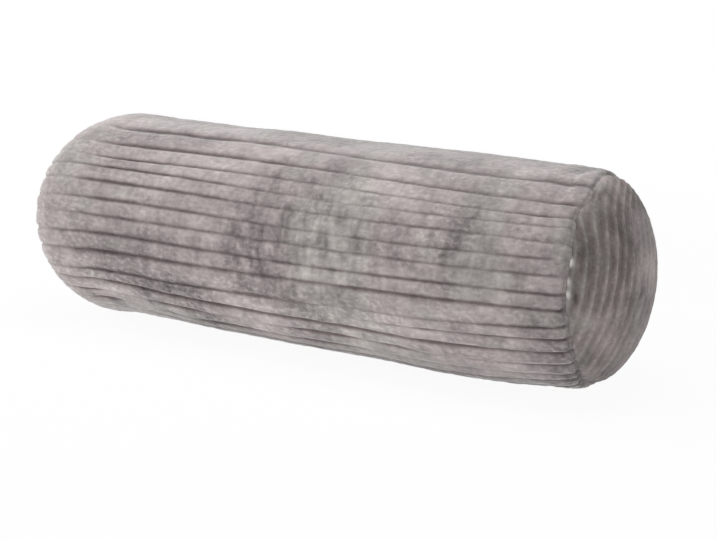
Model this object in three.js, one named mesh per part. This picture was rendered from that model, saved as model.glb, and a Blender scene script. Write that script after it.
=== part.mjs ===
// Neck roll pillow: a round bolster of wide-rib plush cord, lying on its side.
//
// Three pieces, in millimetres, +Z up, the roll's axis along X, its front towards -Y:
//   filled_tube       the stuffed tube panel, ribs lengthwise, with a domed plug at each end
//   end_panel_right   the round panel sewn over the +X plug, ribs up and down
//   end_panel_left    the same over the -X plug
//
// Angles round the roll are 0 at the top and grow towards the front.

import * as THREE from 'three';

// ---- Driving dimensions (mm, degrees) -----------------------------------------------------

const ROLL_RADIUS = 74.5;        // to the crowns of the ribs
const SEAM_TO_SEAM = 402;        // length of the tube panel on the axis
const REST_DROP = 2.6;           // how far the underside is pressed flat by what it lies on
const PRESSED_ARC = [9, 24];     // within the first angle of the bottom the ribs are flat
const GROOVE_DEPTH = 2.6;        // valley between two ribs
const CUT_RADIUS = 75;           // an end panel before it is stuffed
const PANEL_THICKNESS = 3;       // backing and pile of an end panel
const PIECE_GAP = 0.4;           // between an end panel and the plug behind it
const RIM_GAP = 0.5;             // between an end panel's edge and the tube's edge
const TUBE_LIP = 0.6;            // the tube's edge stands this far outside the end panel

// Ribs seen from the front, from the top groove down. width: from one groove to the next at
// the middle of the roll. fan: how far the rib's upper groove turns towards the right end.
const FIRST_GROOVE = 19;
const FRONT_RIBS = [
  { width: 15, fan: 7 },
  { width: 10, fan: 4.5 },
  { width: 8, fan: 3 },
  { width: 8, fan: 2 },
  { width: 10, fan: 1 },
  { width: 9, fan: 0 },
  { width: 10, fan: -1 },
  { width: 9, fan: -2 },
  { width: 13, fan: -3 },
  { width: 12, fan: -3 },
  { width: 11, fan: 1 },
  { width: 14, fan: 1 },
  { width: 13, fan: -3 },
  { width: 14, fan: -1 },
  { width: 12, fan: 0 },
];
const BACK_RIB_COUNT = 18;       // even ribs over the rest of the way round
const FAN_FADE = 6;              // back ribs over which the first rib's fan dies away

// A rib's section: where across the rib a point sits, and its share of the groove's depth.
const RIB_SECTION = [
  { across: 0, depth: 1 },
  { across: 0.25, depth: 0.24 },
  { across: 0.5, depth: 0 },
  { across: 0.75, depth: 0.24 },
];

// The two ends. shoulder: length over which the tube draws in, and drawIn: by what share of
// its radius. dome: how far the panel bulges past the seam. leanUp, leanFront, oval, wander:
// how far the seam stands out at the top, at the front, at top and bottom, in three waves.
const RIGHT_END = {
  side: 1, shoulder: 64, drawIn: 0.07, dome: 33, leanUp: 0, leanFront: 7.5, oval: -2.4, wander: 3.4,
};
const LEFT_END = {
  side: -1, shoulder: 14, drawIn: 0.05, dome: 29, leanUp: 5, leanFront: 15, oval: 0, wander: 0,
};
const LEAN_REACH = 4;            // how quickly a seam's lean fades along the tube
const DOME_ROUNDNESS = 0.6;      // 0.5 is an ellipse, 1 a parabola
const DOME_STEPS = 90;           // steps in which a dome's arc is measured

// Where the rings of points stand along the tube, -1 at the left seam and 1 at the right.
const TUBE_STATIONS = [
  -1, -0.985, -0.95, -0.88, -0.72, -0.48, -0.24, 0, 0.24, 0.48, 0.68, 0.8, 0.89, 0.96, 1,
];

// End panels are laid out in lines along their ribs, crown and groove by turns, with a few
// lines more where the outermost ribs meet the rim, given by their angle round the rim.
const PANEL_RIBS = 15;
const PANEL_RIB_DEPTH = 1.5;
const PANEL_RIB_TURN = 16;       // the ribs' tops lean this far towards the back
const OUTERMOST_LINES = [0, 7, 14];
const LINE_POINTS = 9;           // points along each line

// ---- The roll's form ----------------------------------------------------------------------

const HALF_LENGTH = SEAM_TO_SEAM / 2;
const AXIS_HEIGHT = ROLL_RADIUS - REST_DROP;
const FULL_TURN = 2 * Math.PI;
const { degToRad, smoothstep, clamp } = THREE.MathUtils;

// The share of its full radius that the roll keeps at a station, for one end's shoulder.
function shoulderShare(end, station) {
  const fromSeam = (1 - end.side * station) * HALF_LENGTH;
  const inside = clamp(1 - fromSeam / end.shoulder, 0, 1);
  return 1 - end.drawIn * (1 - Math.sqrt(1 - inside * inside));
}

// How far an end's seam stands out of its plain plane at an angle round the roll.
function seamLean(end, angle) {
  return end.leanUp * Math.cos(angle) + end.leanFront * Math.sin(angle)
    + end.oval * Math.cos(2 * angle) + end.wander * Math.sin(3 * angle);
}

// A point on the tube panel: station along it, angle round it, depth below the rib crowns.
function tubePoint(station, angle, depth) {
  const share = shoulderShare(RIGHT_END, station) * shoulderShare(LEFT_END, station);
  const radius = (ROLL_RADIUS - depth) * share;
  let x = station * HALF_LENGTH;
  for (const end of [RIGHT_END, LEFT_END]) {
    const nearness = ((1 + end.side * station) / 2) ** LEAN_REACH;
    x += end.side * nearness * seamLean(end, angle);
  }
  const height = AXIS_HEIGHT + radius * Math.cos(angle);
  return new THREE.Vector3(x, -radius * Math.sin(angle), Math.max(height, 0));
}

// A dome's reach from the axis and its bulge past the seam, at a share of a quarter turn.
function domeSection(end, turn, inset) {
  const rimRadius = ROLL_RADIUS * (1 - end.drawIn) - TUBE_LIP - inset;
  const share = Math.cos((turn * Math.PI) / 2);
  return {
    share,
    reach: rimRadius * share,
    bulge: (end.dome - inset) * (1 - share * share) ** DOME_ROUNDNESS,
  };
}

// The distances from the pole along an end panel's outer arc, as shares of the whole arc.
function domeArc(end) {
  const lengths = [0];
  for (let step = DOME_STEPS; step > 0; step -= 1) {
    const outer = domeSection(end, (step - 1) / DOME_STEPS, 0);
    const inner = domeSection(end, step / DOME_STEPS, 0);
    const run = Math.hypot(outer.reach - inner.reach, outer.bulge - inner.bulge);
    lengths.push(lengths[lengths.length - 1] + run);
  }
  return lengths.map((length) => length / lengths[lengths.length - 1]);
}

// A point of the flat cut panel, across and along its ribs, once it is stuffed to a dome.
function domePoint(end, arc, across, along, inset, rimGap) {
  const turn = degToRad(PANEL_RIB_TURN);
  const front = across * Math.cos(turn) - along * Math.sin(turn);
  const up = along * Math.cos(turn) + across * Math.sin(turn);
  const angle = Math.atan2(front, up);
  const fromPole = Math.min(Math.hypot(front, up) / CUT_RADIUS, 1);
  const step = Math.max(arc.findIndex((share) => share >= fromPole - 1e-9), 1);
  const within = (fromPole - arc[step - 1]) / (arc[step] - arc[step - 1]);
  const { share, reach, bulge } = domeSection(end, 1 - (step - 1 + within) / DOME_STEPS, inset);
  const lean = share * share * seamLean(end, angle);
  const x = end.side * (HALF_LENGTH + lean + rimGap + bulge);
  const point = new THREE.Vector3(x, -reach * Math.sin(angle), AXIS_HEIGHT + reach * Math.cos(angle));
  return { point, angle };
}

// ---- Skins --------------------------------------------------------------------------------

class Skin {
  constructor() {
    this.positions = [];
    this.faces = [];
  }

  add(point) {
    this.positions.push(point.x, point.y, point.z);
    return this.positions.length / 3 - 1;
  }

  // One triangle, or its mirror image where flip is set.
  face(a, b, c, flip = false) {
    if (flip) this.faces.push(a, c, b);
    else this.faces.push(a, b, c);
  }

  // Joins two closed rings of { angle, index }. Rings of one count are joined point to point,
  // others by whichever ring's next point comes first round the roll.
  joinRings(low, high) {
    const sameCount = low.length === high.length;
    const cornerAngle = (ring, step) => ring[step % ring.length].angle
      + (step < ring.length ? 0 : FULL_TURN);
    let a = 0;
    let b = 0;
    while (a < low.length || b < high.length) {
      const lowFirst = sameCount ? a === b : cornerAngle(low, a + 1) <= cornerAngle(high, b + 1);
      const from = low[a % low.length].index;
      const to = high[b % high.length].index;
      if (b === high.length || (a < low.length && lowFirst)) {
        a += 1;
        this.face(from, low[a % low.length].index, to);
      } else {
        b += 1;
        this.face(from, high[b % high.length].index, to);
      }
    }
  }

  // Joins two lines of point indexes that run side by side; either may be a single point.
  joinLines(left, right, flip) {
    const at = (line, step) => line[Math.min(step, line.length - 1)];
    for (let step = 0; step < LINE_POINTS - 1; step += 1) {
      if (left.length > 1) this.face(left[step], left[step + 1], at(right, step), flip);
      if (right.length > 1) this.face(at(left, step + 1), right[step + 1], right[step], flip);
    }
  }

  geometry() {
    const geometry = new THREE.BufferGeometry();
    geometry.setAttribute('position', new THREE.Float32BufferAttribute(this.positions, 3));
    geometry.setIndex(this.faces);
    geometry.computeVertexNormals();
    return geometry;
  }
}

// Where the lines lie across an end panel, from -1 at its back to 1 at its front.
function lineShares() {
  const outermost = OUTERMOST_LINES.map((angle) => Math.cos(degToRad(angle)));
  const inner = Array.from({ length: 2 * PANEL_RIBS - 1 }, (_, line) => (line + 1) / PANEL_RIBS - 1);
  return [...outermost.map((share) => -share), ...inner, ...outermost.reverse()];
}

// Adds a domed sheet to a skin, in lines along its ribs, and returns its rim as a ring that
// starts at the tube's first groove. grooveDepth is 0 on a smooth sheet.
function addDome(skin, end, inset, rimGap, grooveDepth, facesRight) {
  const arc = domeArc(end);
  const lines = lineShares().map((share) => {
    const across = CUT_RADIUS * share;
    const halfLine = Math.sqrt(CUT_RADIUS ** 2 - across ** 2);
    const count = halfLine > 0 ? LINE_POINTS : 1;
    const relief = 0.5 + 0.5 * Math.cos(Math.PI * PANEL_RIBS * (share + 1));
    return Array.from({ length: count }, (_, step) => {
      const along = halfLine * ((2 * step) / (LINE_POINTS - 1) - 1);
      const { point, angle } = domePoint(end, arc, across, along, inset + grooveDepth * relief, rimGap);
      return { angle, index: skin.add(point) };
    });
  });
  for (let line = 1; line < lines.length; line += 1) {
    const [left, right] = [lines[line - 1], lines[line]].map((points) => points.map(({ index }) => index));
    skin.joinLines(left, right, !facesRight);
  }
  const tops = lines.map((points) => points[points.length - 1]);
  const bottoms = lines.slice(1, -1).map((points) => points[0]).reverse();
  return ringFromFirstGroove([...tops, ...bottoms]);
}

// Turns a ring so that it starts at the tube's first groove, its angles climbing from there.
function ringFromFirstGroove(ring) {
  const start = degToRad(FIRST_GROOVE);
  const turned = ring.map(({ angle, index }) => {
    const beyond = (angle - start + 2 * FULL_TURN) % FULL_TURN;
    return { angle: start + beyond, index };
  });
  return turned.sort((a, b) => a.angle - b.angle);
}

// ---- The pieces ---------------------------------------------------------------------------

// Every groove round the tube: its angle at the middle, the width to the next, and its fan.
function grooves() {
  const frontWidth = FRONT_RIBS.reduce((sum, rib) => sum + rib.width, 0);
  const backWidth = (360 - frontWidth) / BACK_RIB_COUNT;
  const backRibs = Array.from({ length: BACK_RIB_COUNT }, (_, index) => {
    const toFirst = BACK_RIB_COUNT - index;
    return { width: backWidth, fan: FRONT_RIBS[0].fan * Math.max(1 - toFirst / FAN_FADE, 0) };
  });
  let angle = FIRST_GROOVE;
  return [...FRONT_RIBS, ...backRibs].map((rib) => {
    const groove = { ...rib, angle };
    angle += rib.width;
    return groove;
  });
}

function filledTube() {
  const skin = new Skin();
  const all = grooves();
  const plugInset = PANEL_THICKNESS + PIECE_GAP;
  let ring = addDome(skin, LEFT_END, plugInset, 0, 0, false);
  for (const station of TUBE_STATIONS) {
    const next = [];
    all.forEach((groove, index) => {
      const following = all[(index + 1) % all.length];
      for (const { across, depth } of RIB_SECTION) {
        const fan = groove.fan + (following.fan - groove.fan) * across;
        const degrees = groove.angle + groove.width * across + fan * station;
        const fromBottom = Math.abs(degrees - 180);
        const relief = smoothstep(fromBottom, ...PRESSED_ARC);
        const angle = degToRad(degrees);
        const point = tubePoint(station, angle, GROOVE_DEPTH * depth * relief);
        next.push({ angle, index: skin.add(point) });
      }
    });
    skin.joinRings(ring, next);
    ring = next;
  }
  skin.joinRings(ring, addDome(skin, RIGHT_END, plugInset, 0, 0, true));
  return skin.geometry();
}

function endPanel(end) {
  const skin = new Skin();
  const isRight = end.side > 0;
  const outer = addDome(skin, end, 0, RIM_GAP, PANEL_RIB_DEPTH, isRight);
  const inner = addDome(skin, end, PANEL_THICKNESS, RIM_GAP, 0, !isRight);
  if (isRight) skin.joinRings(inner, outer);
  else skin.joinRings(outer, inner);
  return skin.geometry();
}

// ---- Materials and assembly ---------------------------------------------------------------

const plushCord = {
  tube: new THREE.MeshStandardMaterial({ color: 0xa69c9a, roughness: 0.95, metalness: 0 }),
  ends: new THREE.MeshStandardMaterial({ color: 0x9d9391, roughness: 0.95, metalness: 0 }),
};

function piece(name, geometry, material) {
  const mesh = new THREE.Mesh(geometry, material);
  mesh.name = name;
  return mesh;
}

const pillow = new THREE.Group();
pillow.add(
  piece('filled_tube', filledTube(), plushCord.tube),
  piece('end_panel_right', endPanel(RIGHT_END), plushCord.ends),
  piece('end_panel_left', endPanel(LEFT_END), plushCord.ends),
);

// The origin is under the middle of the pillow, on the surface it lies on.
const box = new THREE.Box3().setFromObject(pillow);
const middle = box.getCenter(new THREE.Vector3());
pillow.position.set(-middle.x, -middle.y, -box.min.z);

export default pillow;
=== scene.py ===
# %% [markdown]
# # A neck roll pillow in wide-rib plush cord
#
# The real pillow is one oblong of plush cord sewn into a tube, a round panel of the same
# cloth sewn into each end, and fibre filling that pushes all of it out. It lies on its
# side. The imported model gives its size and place; this script gives it its cloth.
#
# Everything is in metres, +Z is up, the roll's axis runs along X and its front faces -Y.
# Angles round the roll are 0 at the top and grow towards the front.

import bpy
import numpy as np
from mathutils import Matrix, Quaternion, Vector, noise
from mathutils.bvhtree import BVHTree


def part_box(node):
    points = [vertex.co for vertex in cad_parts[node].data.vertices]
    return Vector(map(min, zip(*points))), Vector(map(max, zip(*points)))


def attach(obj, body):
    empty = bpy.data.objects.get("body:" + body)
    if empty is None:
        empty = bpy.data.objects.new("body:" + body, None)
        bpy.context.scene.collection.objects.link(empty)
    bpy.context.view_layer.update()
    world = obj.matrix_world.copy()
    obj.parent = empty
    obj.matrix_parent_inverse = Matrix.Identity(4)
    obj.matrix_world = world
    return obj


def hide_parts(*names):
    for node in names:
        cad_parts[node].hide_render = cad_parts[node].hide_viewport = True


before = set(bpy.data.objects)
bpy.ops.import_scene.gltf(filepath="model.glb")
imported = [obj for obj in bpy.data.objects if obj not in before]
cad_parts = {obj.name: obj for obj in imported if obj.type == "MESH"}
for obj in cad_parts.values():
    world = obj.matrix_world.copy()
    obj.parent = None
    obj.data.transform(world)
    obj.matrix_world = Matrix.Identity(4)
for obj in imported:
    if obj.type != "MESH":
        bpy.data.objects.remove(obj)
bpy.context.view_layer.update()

MM = 0.001

# %% [markdown]
# ## The roll's form
#
# A stuffed tube could be a cylinder with a few loops pulled about, but the two ends differ
# and the seams lean, so the form is written as a rule: a radius for each place along the
# roll, and a lean for each angle round each seam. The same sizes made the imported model, so
# the cloth lands on it without any fitting.

# %% Sizes of the roll and its two ends
ROLL_RADIUS = 75.1 * MM          # to the crowns of the ribs
HALF_LENGTH = 201 * MM           # from the middle to a seam, on the axis
AXIS_HEIGHT = 71.8 * MM          # less than the radius: the underside is pressed flat
PACKED_DOME = 33 * MM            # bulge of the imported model's right end
CUT_RADIUS = 75 * MM             # an end panel before it is stuffed
PLUG_INSET = 3.4 * MM            # the filling's own end, behind an end panel
RIM_GAP = 0.4 * MM               # between the tube's end and a panel's rim
TUBE_LIP = 0.4 * MM              # how much smaller than the tube's end the rim is
LEAN_POWER = 4                   # how fast a seam's lean dies away along the tube
RIM_POWER = 8                    # keeps tucks and a seam's rise near a panel's rim
DOME_ROUNDNESS = 0.6             # 0.5 would make half an ellipse

# shoulder: the length over which the tube draws in. draw_in: by what share. dome: how far
# the panel bulges. rise: how much higher the seam and the dome's pole are than the roll's
# middle. lean_up, lean_front: how far the seam stands out at the top and the front. tucks:
# where it is pulled in (-) or pushed out (+): degrees round, degrees of reach, mm.
ENDS = {
    "right": dict(side=1, shoulder=110 * MM, draw_in=0.095, dome=29.8 * MM,
                  rise=(2.5 * MM, 0.6 * MM), lean_up=0, lean_front=4.3 * MM,
                  tucks=[(-4, 13, -3.5), (29, 7, 1.5), (43, 7, -2.3), (62, 9, 1.3),
                         (125, 34, 6), (160, 13, -3)]),
    "left": dict(side=-1, shoulder=18 * MM, draw_in=0.14, dome=29 * MM,
                 rise=(-0.6 * MM, -1.5 * MM), lean_up=3.6 * MM, lean_front=24.5 * MM,
                 tucks=[(125, 34, -1)]),
}
right_pole = HALF_LENGTH + RIM_GAP + PACKED_DOME
MIDDLE_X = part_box("end_panel_right")[1].x - right_pole
print("the roll's middle is", round(MIDDLE_X / MM, 2), "mm from the model's middle")

# %% Rules for a point on the tube
def shoulder_share(end, station):
    """The share of its radius that the roll keeps at a station, -1 to 1 along it."""
    from_seam = (1 - end["side"] * station) * HALF_LENGTH
    inside = np.clip(1 - from_seam / end["shoulder"], 0, 1)
    return 1 - end["draw_in"] * (1 - np.sqrt(1 - inside ** 2))


def seam_lean(end, angle, share=1.0):
    """How far the seam stands out of its plain plane at an angle round the roll, and how
    far the dome follows it at a share of the rim's radius: a lean far in, a tuck less."""
    lean = share ** 2 * (end["lean_up"] * np.cos(angle) + end["lean_front"] * np.sin(angle))
    for degrees, reach, out in end["tucks"]:
        away = (np.degrees(angle) - degrees + 180) % 360 - 180
        lean = lean + share ** RIM_POWER * out * MM * np.exp(-(away / reach) ** 2)
    return lean


def tube_x(station, angle):
    """Where along X a point of the tube lies, with the leans of both seams."""
    x = MIDDLE_X + station * HALF_LENGTH
    for end in ENDS.values():
        nearness = ((1 + end["side"] * station) / 2) ** LEAN_POWER
        x = x + end["side"] * nearness * seam_lean(end, angle)
    return x


def end_lift(station):
    """How much higher the roll's axis is at a station: its ends are lifted or sink."""
    return sum(end["rise"][0] * (1 - shoulder_share(end, station)) / end["draw_in"]
               for end in ENDS.values())


def on_roll(x, radius, angle, lift=0.0):
    """A point at a distance from the axis, as an array with X, Y and Z last."""
    x, radius, angle, lift = np.broadcast_arrays(x, radius, angle, lift)
    return np.stack([x, -radius * np.sin(angle), AXIS_HEIGHT + lift + radius * np.cos(angle)], -1)


def rest_on_floor(points, softness=1.2 * MM):
    """Lifts what would sink below the floor, with a soft turn at the edge of the flat."""
    z = points[..., 2]
    points[..., 2] = (z + np.sqrt(z ** 2 + softness ** 2)) / 2
    return points


# %% Rules for a point on an end's dome
def dome_profile(end, share, inset=0.0):
    """An end's reach from the axis and bulge past the seam, at a share of its rim radius."""
    rim = ROLL_RADIUS * (1 - end["draw_in"]) - TUBE_LIP - inset
    return rim * share, (end["dome"] - inset) * np.maximum(1 - share ** 2, 0) ** DOME_ROUNDNESS


def dome_point(end, share, angle, inset=0.0, gap=0.0, sunk=0.0):
    """A point on an end's dome. gap: how far out the whole dome is shifted. sunk: how far
    the point itself is drawn in."""
    reach, bulge = dome_profile(end, share, inset)
    out = HALF_LENGTH + gap + seam_lean(end, angle, share) + bulge - sunk / 2
    at_seam, at_pole = end["rise"]
    lift = at_pole + (at_seam - at_pole) * share ** RIM_POWER
    return on_roll(MIDDLE_X + end["side"] * out, reach - sunk, angle, lift)


# %% [markdown]
# ## The filling
#
# What a hand sees first in a stuffed tube is that it isn't a perfect cylinder: the fibre
# packs unevenly, and the seams hold the cloth back. Moving points about by hand would look
# like noise. A cloth simulation with air pressure inside gives the slow swells of real
# stuffing, so a plain form, a little too small and with a few soft lumps, is blown up here
# with its two seams held. Only its unevenness is kept, and laid over the roll's own form.

# %% A helper that turns rows of points into a mesh
def new_object(name, points, faces, attributes=None, corner_uv=None):
    """A mesh object from arrays, with named numbers on its points and its own UV map."""
    mesh = bpy.data.meshes.new(name)
    mesh.from_pydata(points.tolist(), [], faces)
    for label, values in (attributes or {}).items():
        attribute = mesh.attributes.new(label, "FLOAT", "POINT")
        attribute.data.foreach_set("value", np.ascontiguousarray(values, np.float32).ravel())
    if corner_uv is not None:
        layer = mesh.uv_layers.new(name="cloth")
        layer.data.foreach_set("uv", corner_uv.astype(np.float32).ravel())
    mesh.shade_smooth()
    mesh.update()
    obj = bpy.data.objects.new(name, mesh)
    bpy.context.scene.collection.objects.link(obj)
    return obj


def closed_rows(rows, columns, flip=False):
    """Faces of rows of points closed round, and closed at both ends by one point more each,
    with where every corner lies in the cloth, 0 to 1 both ways."""
    faces, uv = [], []

    def add(corners):
        corners = corners[::-1] if flip else corners
        faces.append([index for index, _, _ in corners])
        uv.extend([(column / columns, (row + 1) / (rows + 1)) for _, row, column in corners])

    def at(row, column):
        return row * columns + column % columns, row, column

    first_pole, last_pole = rows * columns, rows * columns + 1
    for column in range(columns):
        add([(first_pole, -1, column), at(0, column + 1), at(0, column)])
        for row in range(rows - 1):
            add([at(row, column), at(row, column + 1),
                 at(row + 1, column + 1), at(row + 1, column)])
        add([at(rows - 1, column), at(rows - 1, column + 1), (last_pole, rows, column)])
    return faces, np.array(uv)


# %% Make a plain form, a little too small
FILL_START = 0.955               # the form starts at this share of its size
FORM_STATIONS, FORM_RINGS, FORM_COLUMNS = 56, 9, 96
FIRST_RING = 0.12                # of a dome, in radians from its pole
FORM_INSET = 1.5 * MM            # how far its domes lie inside the panels
LUMPS = 26                       # soft lumps of fibre
LUMP_HEIGHT = 2.6 * MM
LUMP_WIDTHS = (16, 42)           # mm
ENDWAYS = 0.25                   # a lump's push along the roll, where its push outwards is 1


def plain_form():
    """The roll without ribs, starting small, with soft lumps of fibre in it."""
    draw = np.random.default_rng(41)
    angle = np.linspace(0, 2 * np.pi, FORM_COLUMNS, endpoint=False)
    dome_shares = np.sin(np.linspace(FIRST_RING, np.pi / 2, FORM_RINGS))
    rows = [dome_point(ENDS["left"], share, angle, FORM_INSET) for share in dome_shares[:-1]]
    for station in np.linspace(-1, 1, FORM_STATIONS):
        share = shoulder_share(ENDS["right"], station) * shoulder_share(ENDS["left"], station)
        rows.append(on_roll(tube_x(station, angle), ROLL_RADIUS * share, angle, end_lift(station)))
    rows += [dome_point(ENDS["right"], share, angle, FORM_INSET) for share in dome_shares[-2::-1]]
    poles = [dome_point(ENDS[name], 0.0, 0.0, FORM_INSET) for name in ("left", "right")]
    points = np.vstack(rows + [poles])
    middle = np.array([MIDDLE_X, 0, AXIS_HEIGHT])
    outward = (points - middle) * [ENDWAYS, 1, 1]
    outward /= np.linalg.norm(outward, axis=1, keepdims=True)
    centres = points[draw.integers(0, len(points), LUMPS)]
    heights = draw.uniform(-1, 1, LUMPS) * LUMP_HEIGHT
    widths = draw.uniform(*LUMP_WIDTHS, LUMPS) * MM
    for centre, height, width in zip(centres, heights, widths):
        near = np.exp(-((points - centre) ** 2).sum(1) / (2 * width ** 2))
        points = points + outward * (near * height)[:, None]
    points = middle + (points - middle) * [1, FILL_START, FILL_START]
    faces, _ = closed_rows(len(rows), len(angle))
    return new_object("filling_form", points, faces)


filling = plain_form()
print("the filling's form has", len(filling.data.vertices), "points")

# %% Blow it up with its seams held
VOXEL = 6 * MM
SEAM_BAND = 5 * MM               # how far from a seam the cloth is held
SIM_FRAMES = 20
SIM_CAP = 7 * MM                 # how far a point may move while it swells
CLOTH_MASS = 0.002               # of one point of the cloth; plush is light for its size
AIR_PRESSURE = 30
SLACK = 0.01                     # by what share the cloth is larger than the form


def blow_up(form):
    """Remeshes the form evenly and lets pressure swell it, its seams pinned."""
    remesh = form.modifiers.new("even", "REMESH")
    remesh.mode, remesh.voxel_size = "VOXEL", VOXEL
    bpy.context.view_layer.objects.active = form
    bpy.ops.object.modifier_apply(modifier=remesh.name)
    before = np.array([v.co for v in form.data.vertices])
    held = form.vertex_groups.new(name="seams")
    for end in ENDS.values():
        angle = np.arctan2(-before[:, 1], before[:, 2] - AXIS_HEIGHT)
        seam = MIDDLE_X + end["side"] * (HALF_LENGTH + seam_lean(end, angle))
        on_seam = np.flatnonzero(np.abs(before[:, 0] - seam) < SEAM_BAND)
        held.add(on_seam.tolist(), 1.0, "ADD")
    cloth = form.modifiers.new("swell", "CLOTH")
    cloth.settings.use_pressure = True
    cloth.settings.uniform_pressure_force = AIR_PRESSURE
    cloth.settings.mass = CLOTH_MASS
    cloth.settings.shrink_min = -SLACK
    cloth.settings.effector_weights.gravity = 0
    cloth.settings.vertex_group_mass = "seams"
    cloth.point_cache.frame_end = SIM_FRAMES
    for step in range(1, SIM_FRAMES + 1):
        bpy.context.scene.frame_set(step)
    bpy.ops.object.modifier_apply(modifier=cloth.name)
    after = np.array([v.co for v in form.data.vertices])
    move = after - before
    far = np.linalg.norm(move, axis=1, keepdims=True)
    move *= np.minimum(1, SIM_CAP / np.maximum(far, 1e-9))
    form.data.vertices.foreach_set("co", (before + move).ravel())
    form.data.update()
    bpy.context.scene.frame_set(1)
    print("the filling swelled by up to", round(far.max() / MM, 1), "mm, capped at", SIM_CAP / MM)


blow_up(filling)

# %% Read the unevenness off the swollen form
UNEVEN_LIMIT = 0.014             # share of the radius
STATION_STEPS, ANGLE_STEPS = 61, 72
READ_SPAN = 0.96                 # how near the seams it is read, as a station
SWELLS_ALONG, SWELLS_ROUND = 14, 12    # about how many swells are kept each way


def read_unevenness(form):
    """The form's radius against its mean round the roll, for each station and angle."""
    tree = BVHTree.FromPolygons([v.co for v in form.data.vertices],
                                [p.vertices[:] for p in form.data.polygons])
    radii = np.ones((STATION_STEPS, ANGLE_STEPS))
    for i, station in enumerate(np.linspace(-READ_SPAN, READ_SPAN, STATION_STEPS)):
        for j, angle in enumerate(np.linspace(0, 2 * np.pi, ANGLE_STEPS, endpoint=False)):
            start = Vector((MIDDLE_X + station * HALF_LENGTH, 0, AXIS_HEIGHT + end_lift(station)))
            hit = tree.ray_cast(start, Vector((0, -np.sin(angle), np.cos(angle))))
            if hit[0] is not None:
                radii[i, j] = hit[3]
    share = radii / radii.mean(1, keepdims=True) - 1
    spread = np.fft.fft2(share)                   # slow swells only
    along = np.exp(-(np.fft.fftfreq(STATION_STEPS) * STATION_STEPS / SWELLS_ALONG) ** 2)
    around = np.exp(-(np.fft.fftfreq(ANGLE_STEPS) * ANGLE_STEPS / SWELLS_ROUND) ** 2)
    share = np.real(np.fft.ifft2(spread * along[:, None] * around[None]))
    return np.clip(share, -UNEVEN_LIMIT, UNEVEN_LIMIT)


uneven_table = read_unevenness(filling)
bpy.data.objects.remove(filling)
print("unevenness, share of the radius:", uneven_table.min().round(4), uneven_table.max().round(4))


def smooth_step(value, low, high):
    """0 below low, 1 above high, smoothly between."""
    t = np.clip((value - low) / (high - low), 0, 1)
    return t * t * (3 - 2 * t)


def unevenness(station, angle):
    """The table's value at any station and angle, smoothly between its points."""
    i = np.clip((station + READ_SPAN) / (2 * READ_SPAN), 0, 1) * (STATION_STEPS - 1)
    j = (angle / (2 * np.pi) % 1) * ANGLE_STEPS
    i0 = np.minimum(i.astype(int), STATION_STEPS - 2)
    j0 = j.astype(int) % ANGLE_STEPS
    j1 = (j0 + 1) % ANGLE_STEPS
    fi, fj = smooth_step(i - i0, 0, 1), smooth_step(j - np.floor(j), 0, 1)
    low = uneven_table[i0, j0] * (1 - fj) + uneven_table[i0, j1] * fj
    high = uneven_table[i0 + 1, j0] * (1 - fj) + uneven_table[i0 + 1, j1] * fj
    return low * (1 - fi) + high * fi


# %% [markdown]
# ## The tube panel
#
# This cord has broad, flat-topped ribs of long pile with narrow furrows between them. They
# run the length of the roll and are not all of one width, because the cloth has been pulled
# about. A bump texture could draw them, but the furrows show on the outline and at the
# seams, so they are made as real relief. The mesh is laid out along the ribs, with more
# points at each furrow than on the crowns, and carries what later steps need as named
# numbers: where across its rib a point lies, how open the furrow is there, how near the
# seam is, and how the pile has been brushed.

# %% Where the ribs run
# The furrows on the front, as angles in degrees at five places along the roll, top one first.
# Being pulled about has left no two of them quite parallel.
PLACES = (-195, -100, 0, 100, 195)     # mm from the middle
FIT_SCALE = 200                        # mm; keeps the fitted curve's numbers near 1
FRONT_FURROWS = [
    (20.3, 19.2, 19.7, 23.7, 21.3), (34.4, 34.4, 34.4, 37.5, 37), (44.9, 44.5, 44.2, 46.5, 45.8),
    (52.2, 51.3, 53.2, 53.7, 51.3), (60.7, 59.9, 61.1, 60.7, 60.1), (71.2, 69.8, 70.8, 70.2, 68),
    (80.2, 78.8, 78.9, 77.9, 76.4), (91.3, 88.5, 88.9, 87, 85.6), (101.2, 98.2, 97.3, 94.8, 93.5),
    (113, 111.5, 110.2, 106.8, 102.6), (116, 115.6, 116, 112.6, 109.4),
    (119.5, 119.6, 121.5, 120.3, 117.3), (128, 129.5, 130.5, 129.6, 126),
    (134, 138.5, 141, 138.6, 135), (144, 147.5, 150, 148.5, 141), (157, 160, 162, 160, 152),
]
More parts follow.
